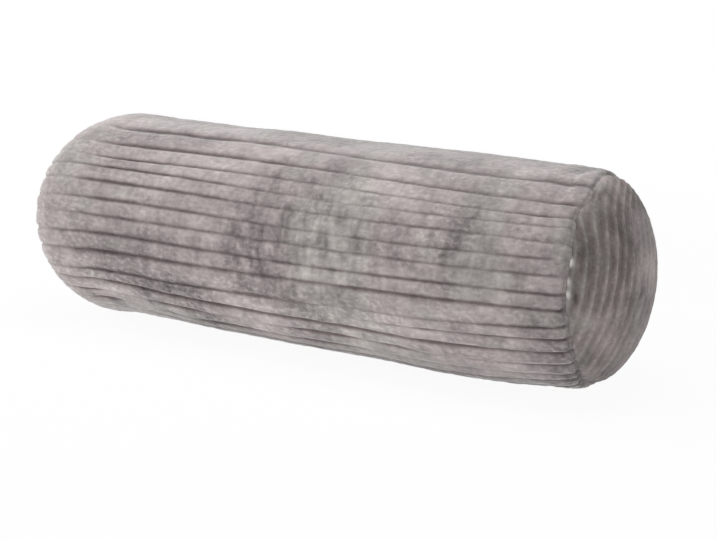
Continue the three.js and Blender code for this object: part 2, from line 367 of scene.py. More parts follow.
# How plainly each one shows, 0 to 1 and a little over, at eight places along it: rubbing
# has half closed some.
STRENGTH_PLACES = (-178, -145, -100, -35, 35, 105, 150, 182)
FURROW_STRENGTHS = [
    (0.1, 1.2, 1.2, 0.7, 0.6, 0.8, 0.6, 0.9), (0.2, 1.25, 1.2, 1, 0.55, 0.8, 0.6, 0.9),
    (0, 1, 0.9, 0.7, 0.4, 0.6, 0.5, 0.8), (0.4, 1.1, 1, 0.55, 0.3, 0.45, 0.4, 0.5),
    (0.4, 1.2, 1.1, 0.6, 0.4, 0.7, 0.4, 0.5), (0.4, 1, 0.9, 0.6, 0.45, 0.7, 0.5, 0.7),
    (0.3, 0.8, 0.7, 0.6, 0.5, 0.6, 0.45, 0.6), (0.45, 1, 0.9, 0.7, 0.65, 0.9, 0.6, 0.8),
    (0.5, 1.1, 1, 0.7, 0.75, 1.1, 0.7, 1), (0.3, 1.2, 1, 1, 0.3, 0.5, 0.7, 0.9),
    (0, 0, 0, 0, 0.1, 0.7, 0.8, 0.9), (0.6, 1.2, 1.2, 1.2, 1.1, 1.2, 0.8, 0.9),
    (0.3, 0.3, 0.5, 0.3, 0.5, 0.4, 0.4, 0.7), (0.2, 0.2, 0.3, 0.5, 0.5, 0.3, 0.4, 0.7),
    (0.2, 0.4, 0.8, 0.8, 0.8, 0.6, 0.6, 0.7), (0.4, 0.6, 0.9, 0.8, 0.8, 0.8, 0.7, 0.7),
]
BACK_STRENGTH = (0.5, 0.7, 0.8, 0.6, 0.5, 0.7, 0.6, 0.6)
TOP_STRENGTH = (0.1,) * 8
BACK_RIBS = 18                         # even ribs from the front ones up the back
TOP_FURROW = 361                       # the furrow behind the broad rib along the top


def furrow_angle(number, along):
    """The angle of one furrow, counted from the first one on the front, at places in mm."""
    front = len(FRONT_FURROWS)
    if number < front:
        curve = np.polyfit(np.array(PLACES) / FIT_SCALE, FRONT_FURROWS[number], len(PLACES) - 1)
        return np.polyval(curve, along / FIT_SCALE)
    if number == front + BACK_RIBS:
        return furrow_angle(0, along) + 360
    share = (number - front + 1) / BACK_RIBS
    start = furrow_angle(front - 1, along)
    return start + (TOP_FURROW - start) * share


RIB_COUNT = len(FRONT_FURROWS) + BACK_RIBS
print(RIB_COUNT, "ribs round the roll")

# %% Lay out the tube panel along its ribs
ACROSS = np.array([0, 0.03, 0.07, 0.13, 0.21, 0.31, 0.43, 0.57, 0.69, 0.79, 0.87, 0.93, 0.97])
RIB_END = 1.5 * MM               # length over which a rib rounds down to the seam
# The rows of points near a seam: mm from it where they start and end, and their step.
SEAM_ROWS = [(0, 8, 0.55), (8, 16, 1.1)]
EVEN_FROM, EVEN_ROWS = 17, 158   # the rows between them: mm from a seam, and how many


def slow_noise(points, size, seed):
    """Soft noise of about -1 to 1 with swells of one size, the same in every run."""
    offset = Vector((seed * 7.31, seed * 3.17, seed * 5.77))
    return np.array([noise.noise(Vector(p) / size + offset) for p in points.reshape(-1, 3)]
                    ).reshape(points.shape[:-1])


def tube_stations():
    """Stations along the tube, close together where the ribs end."""
    near = np.concatenate([np.arange(*rows) for rows in SEAM_ROWS]) * MM / HALF_LENGTH
    even_to = 1 - EVEN_FROM * MM / HALF_LENGTH
    even = np.linspace(-even_to, even_to, EVEN_ROWS)
    return np.concatenate([-1 + near, even, (1 - near)[::-1]])


stations = tube_stations()
across = np.tile(ACROSS, RIB_COUNT)
row_mm = stations * HALF_LENGTH / MM
furrow_angles = np.array([furrow_angle(n, row_mm) for n in range(RIB_COUNT + 1)])
upper, lower = furrow_angles[:-1, None], furrow_angles[1:, None]
angle = np.radians((upper + (lower - upper) * ACROSS[:, None]).reshape(-1, len(stations)).T)
station = np.broadcast_to(stations[:, None], angle.shape)
mm_along = station * HALF_LENGTH / MM
print("tube panel:", angle.shape[0], "rows of", angle.shape[1], "points")

# %% Let the ribs wander a little, the lower ones most
WANDER = np.radians(0.8)
LEAST_WANDER = 0.12              # the share of it that the other ribs have
LOWER_RIBS = (15, 30, 52, 72)    # degrees from the bottom: where they begin and end, softly


def band(value, start, full, fading, end):
    """1 between full and fading, 0 outside start and end, smoothly between."""
    return smooth_step(value, start, full) * (1 - smooth_step(value, fading, end))


def from_bottom(angle):
    """Degrees from the bottom, on either side."""
    return np.abs(np.degrees(angle) - 180)


def noise_places(swells_along, swells_round):
    """Where to read noise of size 1 for the tube: its swells may be longer one way."""
    return np.stack([station * swells_along, angle * swells_round, station * 0], -1)


loose = LEAST_WANDER + (1 - LEAST_WANDER) * band(from_bottom(angle), *LOWER_RIBS)
wander_at = noise_places(5.5, 4)
angle = angle + WANDER * loose * slow_noise(wander_at, 1.0, 3)

# %% Soft spots, for swells and for brushed patches
def spots(marks, along, degrees):
    """Sum of soft spots: (mm along, degrees round, reach along, reach round, strength)."""
    total = np.zeros(along.shape)
    for mark_along, mark_degrees, reach_along, reach_round, strength in marks:
        total += strength * np.exp(-((along - mark_along) / reach_along) ** 2
                                   - ((degrees - mark_degrees) / reach_round) ** 2)
    return total


# Where the stuffing swells a little more, as soft spots whose strength is in mm.
SWELLS = [(-50, 0, 32, 30, 1.1), (110, 0, 50, 35, 1.0), (170, 0, 20, 35, 0.8)]

# %% Place the panel's points
# A fold stands up from the cloth on a slant by the right seam, between two places.
FOLD_FROM, FOLD_TO = (10, 15.5), (0.3, 1.5)      # mm before the seam, degrees round
FOLD_WIDTH, FOLD_HEIGHT = 2, 0.8                 # mm
FAR = 1.0                        # metres; keeps the fold off the left half
SCALLOPS = (3 * MM, 1.5 * MM)    # how far short of the left and right seam furrows end
SCALLOP_REACH = 4 * MM
SCALLOP_POWER = 4                # keeps the scallops narrow


def fold_height(to_seam, degrees):
    """How far the fold stands up at a distance from the seam and degrees round."""
    arc = ROLL_RADIUS / MM * np.pi / 180
    start, end = np.array(FOLD_FROM) * [1, arc], np.array(FOLD_TO) * [1, arc]
    run = end - start
    here = np.stack([to_seam / MM, degrees * arc], -1) - start
    t = np.clip(here @ run / (run @ run), 0, 1)
    away = np.hypot(*(here - t[..., None] * run).T).T
    return FOLD_HEIGHT * MM * np.exp(-(away / FOLD_WIDTH) ** 2)


def wrapped(degrees, lowest):
    """Degrees brought into the one turn that starts at lowest."""
    return (degrees - lowest) % 360 + lowest


to_seam = (1 - np.abs(station)) * HALF_LENGTH
rib_end = np.sqrt(1 - np.clip(1 - to_seam / RIB_END, 0, 1) ** 2)
raw_degrees = wrapped(np.degrees(angle), -30)
fold = fold_height(np.where(station > 0, to_seam, FAR), raw_degrees)
swell = spots(SWELLS, mm_along, wrapped(raw_degrees, -150)) * MM
share = shoulder_share(ENDS["right"], station) * shoulder_share(ENDS["left"], station)
radius = ROLL_RADIUS * share * (1 + unevenness(station, angle)) + fold + swell
furrow = np.abs(2 * across - 1) ** SCALLOP_POWER
set_back = np.where(station < 0, *SCALLOPS) * furrow * np.exp(-to_seam / SCALLOP_REACH)
x = tube_x(station, angle) - np.sign(station) * set_back
points = rest_on_floor(on_roll(x, radius, angle, end_lift(station)))
print("radius to the crowns, mm:", (radius.min() / MM).round(1), "to", (radius.max() / MM).round(1))

# %% [markdown]
# ### What hands have done to the pile, and painted light and shade
#
# Plush is never even: where it was stroked one way it shines, the other way it goes dull,
# and where it was rubbed the pile closes over the furrows. Noise alone puts such places
# anywhere, so the ones on the front are set down as soft spots, by place, size and strength,
# with ragged edges, and slow noise fills in the back. Some of the same spots paint light and
# shade into the colour: painted shade along the bottom edge and at the tube's right end,
# painted light along the lower ribs and the lower left, a painted highlight on the fold and
# a painted shadow beside it.

# %% Brushed patches, painted light and painted shade on the tube
# Pile stroked paler (+) or duller (-). Some spots are painted light (+) and painted shade (-)
# instead: darker along the bottom edge of the right half and at the right end, paler along
# the lower ribs and the lower left.
BRUSHED_AND_PAINTED_LIGHT = [
    (-75, 39, 45, 8, 0.6), (-80, 6, 40, 6, 1.0), (-40, 24, 25, 5, 0.8), (62, 40, 25, 11, 1.0),
    (30, 92, 28, 6, 0.4), (-40, 115, 20, 5, 0.8), (25, 127, 40, 8, 0.4), (65, 113, 30, 8, 0.6),
    (100, 125, 60, 9, 0.3), (-172, 108, 18, 7, 0.6), (-175, 10, 30, 12, 1.0),
    (155, 18, 14, 12, 1.0), (75, 15, 60, 9, 0.3), (-160, 130, 25, 8, 0.8), (-20, 132, 22, 10, 0.8),
    (15, 16, 12, 10, 0.4), (-18, 80, 30, 24, -1.2), (-12, 45, 14, 10, -0.7), (10, 62, 14, 10, -0.4),
    (35, 58, 32, 18, -0.4), (24, 40, 12, 7, -0.9), (132, 62, 16, 24, -0.9), (90, 68, 28, 12, -0.5),
    (30, 103, 30, 6, -0.4), (-15, 108, 25, 7, -0.4), (-130, 98, 35, 16, -0.9),
    (-120, 116, 16, 8, -1.2), (5, 4, 20, 6, -0.9), (-45, 4, 12, 6, -0.8), (-110, 128, 22, 6, -0.6),
    (-75, 138, 25, 14, -1.0), (-155, 75, 14, 12, 0.2), (-125, 26, 30, 6, -0.6),
    (105, 90, 22, 8, -0.3), (196, 85, 22, 50, -0.7), (100, 112, 20, 5, 0.3),
    (0, 137, 190, 11, 0.42), (15, 132, 16, 8, -0.7), (25, 145, 14, 6, 0.3), (110, 14, 18, 8, -0.4),
    (-145, 60, 28, 45, -0.3), (-85, 116, 24, 8, -0.9), (25, 25, 12, 6, -0.5), (90, 11, 14, 6, -0.8),
    (194, 138, 16, 22, -1.5), (110, 161, 95, 6, -1.8), (95, 158, 60, 7, -1.4),
    (-168, 152, 40, 10, 1.6), (25, 118, 16, 6, -1.1), (-98, 86, 20, 5, -0.6),
    (-92, 106, 14, 6, -0.8), (-30, 66, 9, 8, -0.5), (-130, 52, 14, 6, 0.6), (192, 58, 10, 22, 0.5),
    (50, 146, 12, 8, 0.7), (-40, 86, 22, 6, -0.4),
]
# Pile that looks greyer (+), or rosier (-).
COOL = [
    (38, 80, 30, 55, 0.3), (-22, 76, 15, 34, -0.6), (75, 76, 10, 22, -0.2), (145, 60, 16, 34, 0.3),
    (-182, 45, 14, 14, 0.25), (-100, 140, 45, 7, 0.25),
]
# Places where short strokes across the ribs show most.
RUFFLED = [
    (25, 72, 60, 30, 1.0), (150, 65, 30, 22, 0.7), (-20, 100, 60, 20, 0.6), (0, 130, 160, 16, 0.8),
]
print(len(BRUSHED_AND_PAINTED_LIGHT), "brushed patches")

# %% Smaller marks
# Smaller marks with crisper edges, paler (+) or duller (-). Among them are a painted shadow
# beside the fold by the right seam and a painted highlight at the top of that seam.
MARKS_AND_PAINTED_LIGHT = [
    (-17, 46, 4.5, 10, -0.45), (-20, 72, 5, 9, -0.4), (3, 62, 4, 8, -0.35), (-38, 85, 4, 9, -0.4),
    (-12, 82, 5, 8, -0.25), (38, 75, 3, 7, -0.4), (58, 74, 3, 6, -0.6), (72, 76, 3, 10, -0.5),
    (53, 86, 3, 6, -0.5), (47, 75, 2.5, 6, -0.4), (82, 55, 4, 8, -0.4), (124, 74, 4, 9, -0.45),
    (128, 58, 7, 14, -0.5), (138, 50, 4, 14, -0.5), (152, 72, 3, 7, -0.4), (173, 72, 3, 5, -0.4),
    (25, 32, 8, 8, -0.35), (13, 28, 4, 8, -0.3), (12, 66, 6, 6, 0.6), (22, 85, 5, 8, 0.4),
    (-108, 79, 9, 6, -0.4), (-45, 32, 12, 8, 0.4), (2, 24, 8, 7, 0.4), (-150, 126, 26, 3.4, 1.4),
    (-165, 116.5, 16, 2, 0.7), (-103, 127, 9, 3, 0.6), (-47, 126, 10, 4, 0.6),
    (-20, 127, 14, 4, 0.5), (53, 127, 5, 4, 0.9), (53, 139, 7, 6, 1.0), (-27, 142, 7, 6, 0.7),
    (-97, 134, 5, 4, 0.9), (-58, 106.5, 14, 3, 0.6), (-160, 107, 7, 3, 0.8),
    (-10, 116.5, 45, 2.2, 0.4), (80, 117, 25, 2.5, 0.3), (125, 103, 40, 3, 0.3),
    (-173, 133, 5, 3, -1.6), (-159, 138, 5, 3.5, -1.6), (-157, 144, 7, 4, -1.6),
    (-97, 114.5, 16, 3, -0.6), (-118, 124, 4, 4, -1.2), (148, 139, 16, 5, 0.5),
    (66, 133, 7, 4, 0.5), (-138, 135, 12, 4, 0.4), (-96, 142, 6, 5, 0.4), (-82, 126, 7, 4, -0.5),
    (30, 126, 5, 5, -0.5), (189, 5, 5, 5, -1.8), (166, 8.2, 12, 2, -0.6), (200, 2, 4, 9, 0.9),
]
print(len(MARKS_AND_PAINTED_LIGHT), "marks")

# %% Furrows that hands have opened and closed
# Where a furrow lies open although its neighbours are rubbed shut.
OPENED = [
    (-93, 129.5, 22, 3, 0.9), (23, 130.4, 22, 3, 1.0), (80, 130, 14, 3, 0.6),
    (-59, 139.5, 22, 3.5, 1.0), (16, 141, 20, 3, 0.8), (-109, 138, 7, 3, 0.5),
    (-172, 128.5, 13, 2.5, 0.8), (-161, 136, 13, 3, 1.0),
]
# Where a furrow gapes wider than usual.
BROAD = [
    (-40, 120.3, 150, 3, 1.1), (-125, 112.5, 34, 2.5, 0.9), (-20, 110.6, 18, 2.5, 0.8),
    (-93, 129.5, 20, 3, 0.8), (23, 130.4, 20, 3, 1.0), (-59, 139.5, 20, 3, 1.0),
    (16, 141, 20, 3, 0.8), (80, 130, 14, 3, 0.6), (185, 135, 14, 14, 0.6), (-161, 136, 13, 3, 1.0),
]
# Where the pile has closed over the furrows at the right seam.
CLOSED = [
    (201, 58, 8, 11, 1.1), (201, 72, 5, 8, 0.7), (201, 3, 4, 9, 0.8), (203, 22, 4, 5, 0.7),
    (203, 36, 4, 6, 0.8), (203, 46, 4, 5, 0.5), (202, 112, 3, 26, 0.25),
]

# %% Give the patches ragged edges and put them on the cloth
PATCH_RAGGED = (9, 5)            # how far their edges stray: mm along, degrees round
MARK_RAGGED = (2.5, 1.2)         # the same for the smaller marks
MOST_SHOWN = 1.3                 # how open a furrow may be, where 1 is its full depth

ragged = noise_places(6, 3.2)
patch_mm = mm_along + PATCH_RAGGED[0] * slow_noise(ragged, 1.0, 5)
patch_degrees = wrapped(np.degrees(angle) + PATCH_RAGGED[1] * slow_noise(ragged, 1.0, 6), -30)
fine_ragged = ragged * [8, 5, 1]
mark_mm = mm_along + MARK_RAGGED[0] * slow_noise(fine_ragged, 1.0, 25)
mark_degrees = raw_degrees + MARK_RAGGED[1] * slow_noise(fine_ragged, 1.0, 26)

on_back = 0.35 + 0.65 * smooth_step(patch_degrees, 150, 175)
nap_and_painted_light = (spots(BRUSHED_AND_PAINTED_LIGHT, patch_mm, patch_degrees) + 0.8 * on_back * slow_noise(points, 38 * MM, 8)
       + 0.5 * slow_noise(points * [1, 1.5, 1.5], 17 * MM, 9))
# The fold is painted paler along its ridge: a painted highlight.
nap_and_painted_light = nap_and_painted_light + 1.6 * fold / MM
nap_and_painted_light = nap_and_painted_light + spots(MARKS_AND_PAINTED_LIGHT, mark_mm, mark_degrees) * (1 + 0.5 * slow_noise(fine_ragged, 0.7, 27))
broad = np.clip(spots(BROAD, mark_mm, raw_degrees), 0, MOST_SHOWN)
ruffled = np.clip(0.08 + spots(RUFFLED, patch_mm, patch_degrees), 0, 1.2)
cool = spots(COOL, patch_mm, patch_degrees)
fluffy = band(patch_degrees, 90, 125, 165, 185) * (1 - 0.6 * smooth_step(patch_mm, 20, 130))
fluffy = np.clip(0.25 + 0.65 * fluffy + 0.5 * slow_noise(points, 30 * MM, 17), 0, 1)
print("nap from", nap_and_painted_light.min().round(2), "to", nap_and_painted_light.max().round(2))

# %% Say how open each furrow is along its way
PRESSED = (9, 24)                # degrees from the bottom between flat and full ribs

strengths = FURROW_STRENGTHS + [BACK_STRENGTH] * (BACK_RIBS - 1)
strengths = strengths + [TOP_STRENGTH, FURROW_STRENGTHS[0]]
at_rows = np.array([np.interp(row_mm, STRENGTH_PLACES, row) for row in strengths]).T
above, below = (np.repeat(part, len(ACROSS), axis=1) for part in (at_rows[:, :-1], at_rows[:, 1:]))
to_below = smooth_step(across, 0.3, 0.7)
shown = above * (1 - to_below) + below * to_below + spots(OPENED, mark_mm, raw_degrees)
flicker = 1 + 0.35 * slow_noise(wander_at * [2.2, 1.6, 1], 1.0, 13)
shown = np.clip(shown * flicker, 0, MOST_SHOWN)
closed = spots(CLOSED, mm_along, raw_degrees)
furrow_room = smooth_step(from_bottom(angle), *PRESSED) * shown * (1 - np.clip(closed, 0, 1))
nap_and_painted_light, cool = nap_and_painted_light - 0.5 * closed, cool + 0.2 * closed
print("mean room for a furrow:", furrow_room.mean().round(2))

# %% Close the tube behind its end panels
PLUG_SHARES = [0.985, 0.95, 0.88, 0.75, 0.55, 0.3]


def plug_rows(name):
    """Rows that carry the cloth over the filling's end, from the seam to the pole."""
    end = ENDS[name]
    row = angle[0 if end["side"] < 0 else -1]
    return [dome_point(end, share, row, PLUG_INSET) for share in PLUG_SHARES]


left_plug, right_plug = plug_rows("left")[::-1], plug_rows("right")
plug_poles = [dome_point(ENDS[name], 0.0, 0.0, PLUG_INSET) for name in ("left", "right")]
plug_points = len(PLUG_SHARES) * angle.shape[1]


def with_plugs(values):
    """A number for every point of the whole tube, 0 behind the end panels."""
    ends = np.zeros(plug_points)
    return np.concatenate([ends, np.broadcast_to(values, angle.shape).ravel(), ends, [0, 0]])


all_rows = np.concatenate([np.array(left_plug), points, np.array(right_plug)])
tube_points = np.vstack([all_rows.reshape(-1, 3), plug_poles])
tube_faces, tube_uv = closed_rows(len(all_rows), angle.shape[1])
tube_numbers = {
    "rib_across": across, "rib_number": np.repeat(np.arange(RIB_COUNT), len(ACROSS)),
    "rib_end": rib_end, "furrow_room": furrow_room, "broad": broad, "nap_and_painted_light": nap_and_painted_light,
    "ruffled": ruffled, "fluffy": fluffy, "cool": cool, "tuft": 0,
}
tube_numbers = {name: with_plugs(values) for name, values in tube_numbers.items()}
tube_panel = new_object("tube_panel", tube_points, tube_faces, tube_numbers, tube_uv)
print("tube panel faces:", len(tube_faces))

# %% [markdown]
# ## A shorthand for nodes
#
# Geometry and material trees both need a lot of small sums. Added one by one, nodes are
# long to write and hard to read, so one small class stands for a socket and turns Python's
# own + - * / into Math nodes. Anything else comes from its owner's `node` method.

# %% The Signal class
class Signal:
    """One output socket of a node, with Python's operators for Math nodes."""

    def __init__(self, bench, socket):
        self.bench, self.socket = bench, socket

    def math(self, operation, *values):
        return self.bench.node("ShaderNodeMath", {"operation": operation},
                               dict(enumerate(values)))

    def __add__(self, other): return self.math("ADD", self, other)
    __radd__ = __add__
    def __sub__(self, other): return self.math("SUBTRACT", self, other)
    def __rsub__(self, other): return self.math("SUBTRACT", other, self)
    def __mul__(self, other): return self.math("MULTIPLY", self, other)
    __rmul__ = __mul__
    def __truediv__(self, other): return self.math("DIVIDE", self, other)
    def __pow__(self, other): return self.math("POWER", self, other)
    def __abs__(self): return self.math("ABSOLUTE", self)

    def above(self, low, high):
        """0 below low, 1 above high, smoothly between."""
        return self.bench.node("ShaderNodeMapRange", {"interpolation_type": "SMOOTHSTEP"},
                               {"Value": self, "From Min": low, "From Max": high})


class Bench:
    """A node tree to build in."""

    def __init__(self, tree):
        self.tree = tree

    @classmethod
    def cleared(cls, owner):
        """The bench of a material or world, with Blender's own nodes taken out."""
        owner.use_nodes = True
        owner.node_tree.nodes.clear()
        return cls(owner.node_tree)

    def node(self, kind, settings=None, inputs=None, output=0):
        """Adds a node: its settings first, then its sockets. Returns one of its outputs, or
        None if it has none."""
        made = self.tree.nodes.new(kind)
        for name, value in (settings or {}).items():
            setattr(made, name, value)
        for key, value in (inputs or {}).items():
            open_sockets = [s for s in made.inputs if s.enabled]
            socket = (open_sockets[key] if isinstance(key, int)
                      else next(s for s in open_sockets if s.name == key))
            if isinstance(value, Signal):
                self.tree.links.new(value.socket, socket)
            else:
                socket.default_value = value
        outputs = [s for s in made.outputs if s.enabled]
        if not outputs:
            return None
        found = (outputs[output] if isinstance(output, int)
                 else next(s for s in outputs if s.name == output))
        return Signal(self, found)

    def number(self, name):
        """A named number that the mesh carries."""
        return self.node("ShaderNodeAttribute", {"attribute_name": name}, output="Fac")


# %% [markdown]
# ## Ribs and pile as Geometry Nodes
#
# Every rib has one section, so one tree makes them all: it reads how far across its rib a
# point is, and pushes the point in along its normal where the furrow runs. The same tree
# roughens the pile a little, and leaves behind, as a number for the material, how pale the
# pile is to be painted: less pale in the furrows and where a rib ends, where the material
# paints shade. The end panels use it again with lower, rounder ribs.

# %% Build the rib tree
RIB_INPUTS = [                         # name, kind of socket, value unless told otherwise
    ("Cloth", "Geometry", None), ("Furrow Depth", "Float", 1.6 * MM),
    ("Crown Flatness", "Float", 3.0), ("Tuft Height", "Float", 0.7 * MM),
    ("Tuft Length", "Float", 6 * MM), ("Tuft Width", "Float", 5 * MM),
    ("Seed", "Float", 1.0), ("Plush", "Material", None),
]
# The second number is for how pale the pile is painted, which sets the painted furrow shade.
END_HEIGHT, END_UNSHADED_SHARE = 0.45, 0.7   # what a rib keeps of them where it ends in a seam


def rib_tree():
    """The tree that presses the furrows in and roughens the pile."""
    tree = bpy.data.node_groups.new("plush cord ribs", "GeometryNodeTree")
    tree.is_modifier = True
    for name, kind, value in RIB_INPUTS:
        socket = tree.interface.new_socket(name=name, in_out="INPUT",
                                           socket_type="NodeSocket" + kind)
        if value is not None:
            socket.default_value = value
    tree.interface.new_socket(name="Cloth", in_out="OUTPUT", socket_type="NodeSocketGeometry")
    bench = Bench(tree)
    group = tree.nodes.new("NodeGroupInput")
    given = {s.name: Signal(bench, s) for s in group.outputs if s.name}

    def carried(name):
        return bench.node("GeometryNodeInputNamedAttribute", {"data_type": "FLOAT"},
                          {"Name": name}, "Attribute")

    across, room, end, broad = (
        carried(n) for n in ("rib_across", "furrow_room", "rib_end", "broad"))
    crown = (1 - abs(2 * across - 1) ** (given["Crown Flatness"] / (1 + broad))).above(0, 1)
    # The first number shapes the rib; the second is how pale the pile is painted, falling in the
    # furrows and at rib ends, where the material paints shade.
    height, unshaded_share = (1 - room * (1 - crown * (least + (1 - least) * end))
                        for least in (END_HEIGHT, END_UNSHADED_SHARE))
    place = bench.node("GeometryNodeInputPosition")
    parts = bench.node("ShaderNodeSeparateXYZ", None, {0: place})
    x, y, z = (Signal(bench, s) for s in parts.socket.node.outputs)
    stretched = bench.node("ShaderNodeCombineXYZ", None, {
        "X": x / given["Tuft Length"], "Y": y / given["Tuft Width"], "Z": z / given["Tuft Width"]})
    tufts = bench.node("ShaderNodeTexNoise", {"noise_dimensions": "4D"},
                       {"Vector": stretched, "W": given["Seed"], "Scale": 1.0, "Detail": 2.0})
    rise = given["Furrow Depth"] * (height - 1) + given["Tuft Height"] * height * (tufts - 0.5) * 2
    normal = bench.node("GeometryNodeInputNormal")
    offset = bench.node("ShaderNodeVectorMath", {"operation": "SCALE"}, {0: normal, "Scale": rise})
    moved = bench.node("GeometryNodeSetPosition", None,
                       {"Geometry": given["Cloth"], "Offset": offset})
    stored = bench.node("GeometryNodeStoreNamedAttribute",
                        {"data_type": "FLOAT", "domain": "POINT"},
                        {"Geometry": moved, "Name": "rib_height", "Value": unshaded_share})
    real = bench.node("GeometryNodeRealizeInstances", None, {"Geometry": stored})
    finished = bench.node("GeometryNodeSetMaterial", None,
                          {"Geometry": real, "Material": given["Plush"]})
    bench.node("NodeGroupOutput", None, {"Cloth": finished})
    return tree


RIB_TREE = rib_tree()
print("the rib tree has", len(RIB_TREE.nodes), "nodes")

# %% A helper that runs a tree on a piece
def grow(obj, tree, **inputs):
    """Runs a tree on an object, with its named inputs, and keeps the plain result."""
    modifier = obj.modifiers.new("grow", "NODES")
    modifier.node_group = tree
    for item in tree.interface.items_tree:
        key = item.name.lower().replace(" ", "_")
        if item.item_type == "SOCKET" and item.in_out == "INPUT" and key in inputs:
            modifier[item.identifier] = inputs[key]
    depsgraph = bpy.context.evaluated_depsgraph_get()
    mesh = bpy.data.meshes.new_from_object(obj.evaluated_get(depsgraph), depsgraph=depsgraph,
                                           preserve_all_data_layers=True)
    obj.modifiers.remove(modifier)
    obj.data = mesh
    mesh.name = obj.name
    print(obj.name, "has", len(mesh.vertices), "points and", len(mesh.polygons), "faces")


# %% [markdown]
# ## The plush
#
# Long pile scatters light: it looks matt face on and pale where it is seen edge on, and it
# turns lighter or darker with the way it was last brushed. A texture painted on would fix
# one light into the cloth, so the colour is built up from what the pile does: broad brushed
# patches, short strokes across the ribs and fine grain. Some light and shade is painted in
# all the same: painted shade down in the furrows, a painted light on each rib's upper part,
# pale painted highlights on the crowns, and painted light and shade among the patches.

# %% A helper for colours
def pile_colour(red, green, blue):
    """A colour given as on a screen, 0 to 255, as Blender's linear colour."""
    def linear(v):
        v /= 255
        return v / 12.92 if v <= 0.04045 else ((v + 0.055) / 1.055) ** 2.4
    return (linear(red), linear(green), linear(blue), 1.0)


# %% The plush material
RIB_STEP = 1.7                   # how far apart in the noise two neighbouring ribs read it
NAP_AND_LIGHT_SHARE = 0.3                  # how much lighter a nap of 1 makes the pile
PILE_RELIEF = 1.3 * MM           # between the dips and the tips of the pile
TUFT_COLOUR = pile_colour(232, 230, 226)


def plush(name, warm, cool, furrow, sheen):
    """Plush cord, from the colours of its pile, its greyer pile and the painted shade in its
    furrows.
    """
    material = bpy.data.materials.new(name)
    bench = Bench.cleared(material)
    place = bench.node("ShaderNodeTexCoord", output="Object")
    number = bench.number("rib_number")

    def mottle(size, detail=2.0, stretch=(1, 1, 1), own_ribs=False):
        """Noise of one size in metres, centred on 0, different on each rib if asked."""
        scaled = bench.node("ShaderNodeMapping", {"vector_type": "POINT"},
                            {"Vector": place, "Scale": tuple(1 / (size * s) for s in stretch)})
        noise_inputs = {"Vector": scaled, "Scale": 1.0, "Detail": detail}
        if own_ribs:
            noise_inputs["W"] = number * RIB_STEP
        return bench.node("ShaderNodeTexNoise", {"noise_dimensions": "4D"}, noise_inputs) - 0.5

    def blend(factor, first, second):
        return bench.node("ShaderNodeMix", {"data_type": "RGBA"},
                          {"Factor": factor, "A": first, "B": second})

    # height here is how pale the pile is painted, lowest in the painted furrow shade; it is not a
    # height.
    height, nap_and_painted_light, ruffled, fluffy = (
        bench.number(n) for n in ("rib_height", "nap_and_painted_light", "ruffled", "fluffy"))
    hue = mottle(22 * MM, 3.0, (1.2, 1, 1)) * 0.8 + bench.number("cool") + nap_and_painted_light * 0.02
    blotches = mottle(11 * MM, 2.0, (1, 1.2, 1.2), True)
    strokes = mottle(4.6 * MM, 0.7, (1, 3.4, 3.4))
    streaks = mottle(2.4 * MM, 2.0, (9, 1, 1), True)
    flecks = mottle(2.8 * MM, 2.0, (1.5, 1, 1))
    grain = mottle(1.3 * MM, 2.0)
    # Painted highlights: pale flecks on the crowns of the fluffier ribs, where light catches the
    # tufts.
    painted_fleck_highlights = flecks.above(0.03, 0.16) * fluffy * height.above(0.5, 0.9)
    across = bench.number("rib_across")
    # Painted light: the upper part of each rib paler and its lower middle darker, as light from
    # above would make them.
    painted_rib_top_light = (0.5 - across) * 0.05 - across * (1 - across) * 0.14
    # How strongly each kind of mottling shows, and how brushing changes that; the brushed spots
    # also carry painted light and shade, and the crowns' flecks and the ribs' upper parts add
    # painted highlights and painted light.
    tone = (1 + nap_and_painted_light * NAP_AND_LIGHT_SHARE
            + blotches * (0.7 + ruffled * 0.45)
            + strokes * (0.1 + ruffled * 0.65)
            + streaks * (0.35 - ruffled * 0.2)
            + flecks * (0.62 - ruffled * 0.12 + fluffy * 0.45)
            + grain * 0.2 + painted_fleck_highlights * 0.25 + painted_rib_top_light)
    # Painted shade: the colour turns to the darker furrow colour as the painted pale share falls,
    # down in the furrows and at the ribs' ends.
    shaded = blend(height.above(0.0, 1.0), furrow, blend(hue.above(0.0, 0.16), warm, cool))
    toned = bench.node("ShaderNodeVectorMath", {"operation": "SCALE"}, {0: shaded, "Scale": tone})
    colour = blend(bench.number("tuft").above(0.1, 1.2), toned, TUFT_COLOUR)
    relief = (blotches * 0.5 + strokes * ruffled * 0.6 + flecks * (0.4 + fluffy * 0.6)
              + grain * 0.4)
    bump = bench.node("ShaderNodeBump", None,
                      {"Strength": 1.0, "Distance": PILE_RELIEF, "Height": relief})
    shader = bench.node("ShaderNodeBsdfPrincipled", None, {
        "Base Color": colour, "Roughness": 0.95, "Specular IOR Level": 0.1,
        "Sheen Weight": sheen, "Sheen Roughness": 0.35, "Normal": bump})
    bench.node("ShaderNodeOutputMaterial", None, {"Surface": shader})
    return material


tube_plush = plush("plush cord, tube", pile_colour(168, 159, 158),
                   pile_colour(164, 158.5, 155.5), pile_colour(109, 98, 97), sheen=0.9)
# The ends' colours are a darker copy of the tube's, for the same cloth: painted shade on ends that
# turn away from the light.
end_plush_painted_darker = plush("plush cord, ends", pile_colour(158, 148, 147),
                  pile_colour(150, 146, 142), pile_colour(124, 115, 112), sheen=0.35)
print("plush for the tube and the ends, with", len(tube_plush.node_tree.nodes), "nodes each")

# %% Grow the ribs on the tube panel
grow(tube_panel, RIB_TREE, furrow_depth=1.6 * MM, crown_flatness=3.0, tuft_height=0.7 * MM,
     tuft_length=6 * MM, tuft_width=5 * MM, seed=4.0, plush=tube_plush)
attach(tube_panel, "root")
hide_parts("filled_tube")

